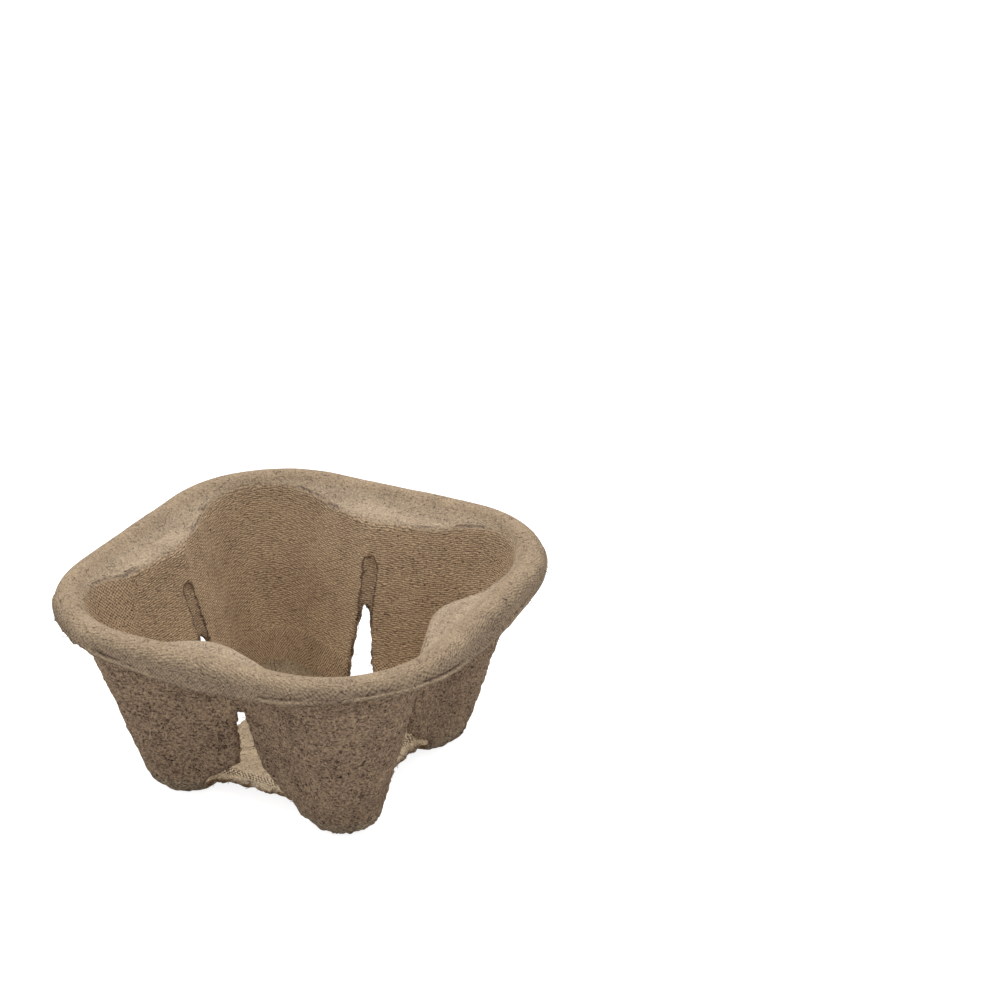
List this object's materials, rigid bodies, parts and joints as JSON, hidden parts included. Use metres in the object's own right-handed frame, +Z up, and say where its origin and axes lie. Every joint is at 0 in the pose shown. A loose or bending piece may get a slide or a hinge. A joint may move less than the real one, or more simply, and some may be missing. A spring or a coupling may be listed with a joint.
{
  "type": "moulded pulp cup carrier",
  "caption": "Low pressed-pulp carrier for one drinks cup: lobed walls with T-shaped cut-outs under a rounded-square rolled rim, on a creased vaulted floor.",
  "frame": {"origin": "middle of the footprint, on the plane that the four feet stand on", "axes": "+Z up; the flat sides of the rim face along X and Y, and the lobes and feet lie on the diagonals"},
  "size_m": [0.12, 0.12, 0.0615],
  "materials": {
    "pulp": "matt unbleached pressed paper pulp, rough outside, wire-marked inside"
  },
  "bodies": {
    "root": {"carrier": "pulp"}
  },
  "joints": []
}
